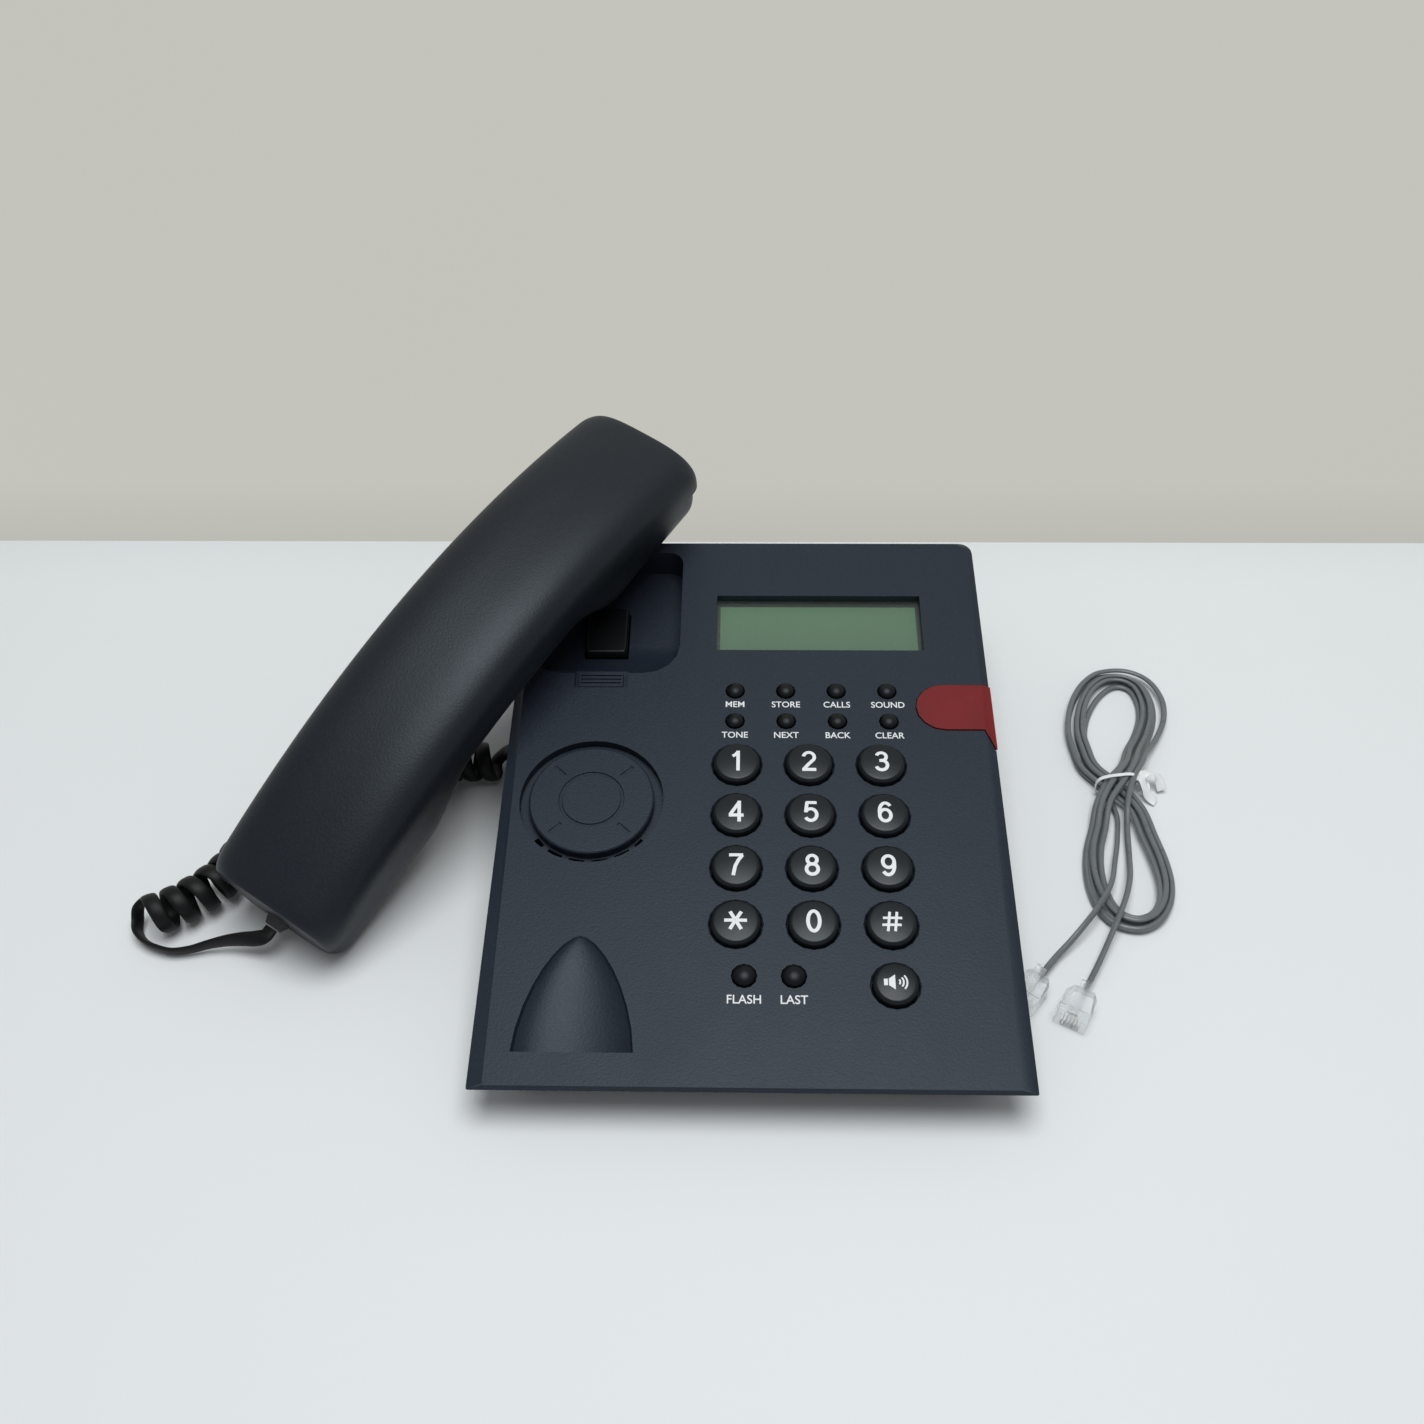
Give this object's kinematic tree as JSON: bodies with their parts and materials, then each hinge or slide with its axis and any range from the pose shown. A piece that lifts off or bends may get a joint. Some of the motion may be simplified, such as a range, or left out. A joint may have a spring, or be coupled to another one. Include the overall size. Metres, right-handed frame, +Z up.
{
  "type": "corded desk telephone",
  "caption": "Charcoal desk telephone with a sloped panel of round keys, a grey display, an off-hook handset on a curly cord and a folded line cord.",
  "frame": {"origin": "on the table under the middle of the base", "axes": "+X to the base's right, +Y from its front edge to its back edge, +Z up"},
  "size_m": [0.3395, 0.2274, 0.0921],
  "materials": {
    "housing": "fine-textured charcoal plastic",
    "keys": "satin black plastic",
    "rubber_parts": "soft dark rubber",
    "fasteners": "zinc-plated steel",
    "window": "clear window",
    "display": "grey-green display",
    "lamp": "translucent red lens",
    "board": "green board",
    "capsules": "dark metal",
    "connectors": "black moulded plastic",
    "clear_plugs": "clear moulded plastic",
    "curly_wire": "soft black vinyl",
    "line_wire": "grey vinyl",
    "tie": "white coated wire"
  },
  "bodies": {
    "root": {"top_cover": "housing", "bottom_case": "housing", "foot_front_left": "rubber_parts", "foot_front_right": "rubber_parts", "foot_rear_left": "rubber_parts", "foot_rear_right": "rubber_parts", "case_screw_front_left": "fasteners", "case_screw_front_right": "fasteners", "case_screw_rear_left": "fasteners", "case_screw_rear_right": "fasteners", "lcd_lens": "window", "lcd_module": "display", "lamp_lens": "lamp", "speaker_cap": "housing", "speaker": "capsules", "main_board": "board", "key_mat": "rubber_parts", "hook_switch": "connectors", "handset_jack": "connectors", "line_jack": "connectors", "base_plug": "clear_plugs", "curly_cord": "curly_wire", "line_cord": "line_wire", "line_plug_a": "clear_plugs", "line_plug_b": "clear_plugs", "twist_tie": "tie"},
    "key_star": {"key_star": "keys"},
    "key_0": {"key_0": "keys"},
    "key_hash": {"key_hash": "keys"},
    "key_7": {"key_7": "keys"},
    "key_8": {"key_8": "keys"},
    "key_9": {"key_9": "keys"},
    "key_4": {"key_4": "keys"},
    "key_5": {"key_5": "keys"},
    "key_6": {"key_6": "keys"},
    "key_1": {"key_1": "keys"},
    "key_2": {"key_2": "keys"},
    "key_3": {"key_3": "keys"},
    "key_ring": {"key_ring": "keys"},
    "key_up": {"key_up": "keys"},
    "key_down": {"key_down": "keys"},
    "key_delete": {"key_delete": "keys"},
    "key_memory": {"key_memory": "keys"},
    "key_set": {"key_set": "keys"},
    "key_out": {"key_out": "keys"},
    "key_volume": {"key_volume": "keys"},
    "key_flash": {"key_flash": "keys"},
    "key_redial": {"key_redial": "keys"},
    "key_speaker": {"key_speaker": "keys"},
    "hook_plunger": {"hook_plunger": "keys"},
    "retaining_tab": {"retaining_tab": "housing"},
    "handset": {"handset_back": "housing", "handset_front": "housing", "receiver": "capsules", "microphone": "capsules", "handset_socket": "connectors", "handset_screw_mouth": "fasteners", "handset_screw_ear": "fasteners", "handset_plug": "clear_plugs"}
  },
  "joints": [
    {"name": "key_star_press", "type": "slide", "parent": "root", "child": "key_star", "axis": [0, 0.1736, -0.9848], "range_m": [0, 0.0015], "stiffness_N_per_m": 200, "springref_m": -0.0015},
    {"name": "key_0_press", "type": "slide", "parent": "root", "child": "key_0", "axis": [0, 0.1736, -0.9848], "range_m": [0, 0.0015], "stiffness_N_per_m": 200, "springref_m": -0.0015},
    {"name": "key_hash_press", "type": "slide", "parent": "root", "child": "key_hash", "axis": [0, 0.1736, -0.9848], "range_m": [0, 0.0015], "stiffness_N_per_m": 200, "springref_m": -0.0015},
    {"name": "key_7_press", "type": "slide", "parent": "root", "child": "key_7", "axis": [0, 0.1736, -0.9848], "range_m": [0, 0.0015], "stiffness_N_per_m": 200, "springref_m": -0.0015},
    {"name": "key_8_press", "type": "slide", "parent": "root", "child": "key_8", "axis": [0, 0.1736, -0.9848], "range_m": [0, 0.0015], "stiffness_N_per_m": 200, "springref_m": -0.0015},
    {"name": "key_9_press", "type": "slide", "parent": "root", "child": "key_9", "axis": [0, 0.1736, -0.9848], "range_m": [0, 0.0015], "stiffness_N_per_m": 200, "springref_m": -0.0015},
    {"name": "key_4_press", "type": "slide", "parent": "root", "child": "key_4", "axis": [0, 0.1736, -0.9848], "range_m": [0, 0.0015], "stiffness_N_per_m": 200, "springref_m": -0.0015},
    {"name": "key_5_press", "type": "slide", "parent": "root", "child": "key_5", "axis": [0, 0.1736, -0.9848], "range_m": [0, 0.0015], "stiffness_N_per_m": 200, "springref_m": -0.0015},
    {"name": "key_6_press", "type": "slide", "parent": "root", "child": "key_6", "axis": [0, 0.1736, -0.9848], "range_m": [0, 0.0015], "stiffness_N_per_m": 200, "springref_m": -0.0015},
    {"name": "key_1_press", "type": "slide", "parent": "root", "child": "key_1", "axis": [0, 0.1736, -0.9848], "range_m": [0, 0.0015], "stiffness_N_per_m": 200, "springref_m": -0.0015},
    {"name": "key_2_press", "type": "slide", "parent": "root", "child": "key_2", "axis": [0, 0.1736, -0.9848], "range_m": [0, 0.0015], "stiffness_N_per_m": 200, "springref_m": -0.0015},
    {"name": "key_3_press", "type": "slide", "parent": "root", "child": "key_3", "axis": [0, 0.1736, -0.9848], "range_m": [0, 0.0015], "stiffness_N_per_m": 200, "springref_m": -0.0015},
    {"name": "key_ring_press", "type": "slide", "parent": "root", "child": "key_ring", "axis": [0, 0.1736, -0.9848], "range_m": [0, 0.0015], "stiffness_N_per_m": 200, "springref_m": -0.0015},
    {"name": "key_up_press", "type": "slide", "parent": "root", "child": "key_up", "axis": [0, 0.1736, -0.9848], "range_m": [0, 0.0015], "stiffness_N_per_m": 200, "springref_m": -0.0015},
    {"name": "key_down_press", "type": "slide", "parent": "root", "child": "key_down", "axis": [0, 0.1736, -0.9848], "range_m": [0, 0.0015], "stiffness_N_per_m": 200, "springref_m": -0.0015},
    {"name": "key_delete_press", "type": "slide", "parent": "root", "child": "key_delete", "axis": [0, 0.1736, -0.9848], "range_m": [0, 0.0015], "stiffness_N_per_m": 200, "springref_m": -0.0015},
    {"name": "key_memory_press", "type": "slide", "parent": "root", "child": "key_memory", "axis": [0, 0.1736, -0.9848], "range_m": [0, 0.0015], "stiffness_N_per_m": 200, "springref_m": -0.0015},
    {"name": "key_set_press", "type": "slide", "parent": "root", "child": "key_set", "axis": [0, 0.1736, -0.9848], "range_m": [0, 0.0015], "stiffness_N_per_m": 200, "springref_m": -0.0015},
    {"name": "key_out_press", "type": "slide", "parent": "root", "child": "key_out", "axis": [0, 0.1736, -0.9848], "range_m": [0, 0.0015], "stiffness_N_per_m": 200, "springref_m": -0.0015},
    {"name": "key_volume_press", "type": "slide", "parent": "root", "child": "key_volume", "axis": [0, 0.1736, -0.9848], "range_m": [0, 0.0015], "stiffness_N_per_m": 200, "springref_m": -0.0015},
    {"name": "key_flash_press", "type": "slide", "parent": "root", "child": "key_flash", "axis": [0, 0.1736, -0.9848], "range_m": [0, 0.0015], "stiffness_N_per_m": 200, "springref_m": -0.0015},
    {"name": "key_redial_press", "type": "slide", "parent": "root", "child": "key_redial", "axis": [0, 0.1736, -0.9848], "range_m": [0, 0.0015], "stiffness_N_per_m": 200, "springref_m": -0.0015},
    {"name": "key_speaker_press", "type": "slide", "parent": "root", "child": "key_speaker", "axis": [0, 0.1736, -0.9848], "range_m": [0, 0.0015], "stiffness_N_per_m": 200, "springref_m": -0.0015},
    {"name": "hook_press", "type": "slide", "parent": "root", "child": "hook_plunger", "axis": [0, 0.1736, -0.9848], "range_m": [0, 0.004], "stiffness_N_per_m": 120, "springref_m": -0.003},
    {"name": "tab_slide", "type": "slide", "parent": "root", "child": "retaining_tab", "axis": [0, 0.9848, 0.1736], "range_m": [0, 0.005]},
    {"name": "handset_lift", "type": "slide", "parent": "root", "child": "handset", "axis": [0, 0, 1], "range_m": [0, 0.12]}
  ]
}
